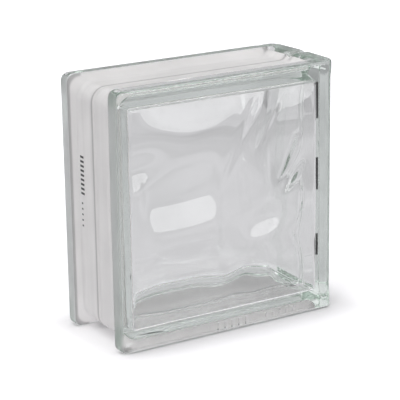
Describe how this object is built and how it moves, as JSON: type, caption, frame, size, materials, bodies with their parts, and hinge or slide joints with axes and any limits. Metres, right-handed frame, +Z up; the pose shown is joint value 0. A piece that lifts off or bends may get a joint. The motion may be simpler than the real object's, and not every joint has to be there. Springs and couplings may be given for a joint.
{
  "type": "glass block",
  "caption": "Hollow square glass building block with waved inner faces, a white-coated mortar channel on its edges and a smooth clear finished end.",
  "frame": {"origin": "middle of the footprint, on the level floor the block stands on", "axes": "+Z up, front glass face towards -Y, finished clear end towards +X"},
  "size_m": [0.1869, 0.08, 0.19],
  "materials": {
    "glass": "clear pressed glass, faintly green, gloss",
    "coating": "white edge coating, matt"
  },
  "bodies": {
    "root": {"front_half": "glass", "back_half": "glass", "edge_coating": "coating"}
  },
  "joints": []
}
